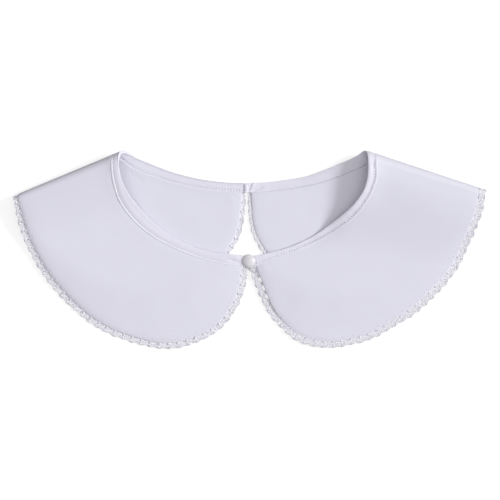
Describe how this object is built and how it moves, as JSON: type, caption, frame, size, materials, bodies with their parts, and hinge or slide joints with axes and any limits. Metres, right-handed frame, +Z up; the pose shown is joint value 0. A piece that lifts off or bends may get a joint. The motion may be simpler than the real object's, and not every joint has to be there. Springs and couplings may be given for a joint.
{
  "type": "detachable flat collar with lace edging",
  "caption": "White cotton flat collar with rounded fronts, narrow scalloped lace edging and bound neck, folded at the shoulders and laid flat, closed by a pearl button.",
  "frame": {"origin": "middle of the underside, on the table", "axes": "+X along the collar from its left shoulder in the picture to its right, +Y towards the back of the neck, +Z up from the table"},
  "size_m": [0.3292, 0.1388, 0.0138],
  "materials": {
    "collar_cotton": "fine plain weave cotton, matte, white with a cool tint",
    "binding_cotton": "bias strip of the same cotton, folded and edge stitched",
    "lace_cotton": "twisted cotton thread lace, matte",
    "button_pearl": "glossy pearl, faint warm and cool sheen",
    "loop_thread": "twisted sewing thread"
  },
  "bodies": {
    "root": {"collar_left": "collar_cotton", "collar_right": "collar_cotton", "binding_left": "binding_cotton", "binding_right": "binding_cotton", "lace_left": "lace_cotton", "lace_right": "lace_cotton", "button": "button_pearl", "button_loop": "loop_thread"}
  },
  "joints": []
}
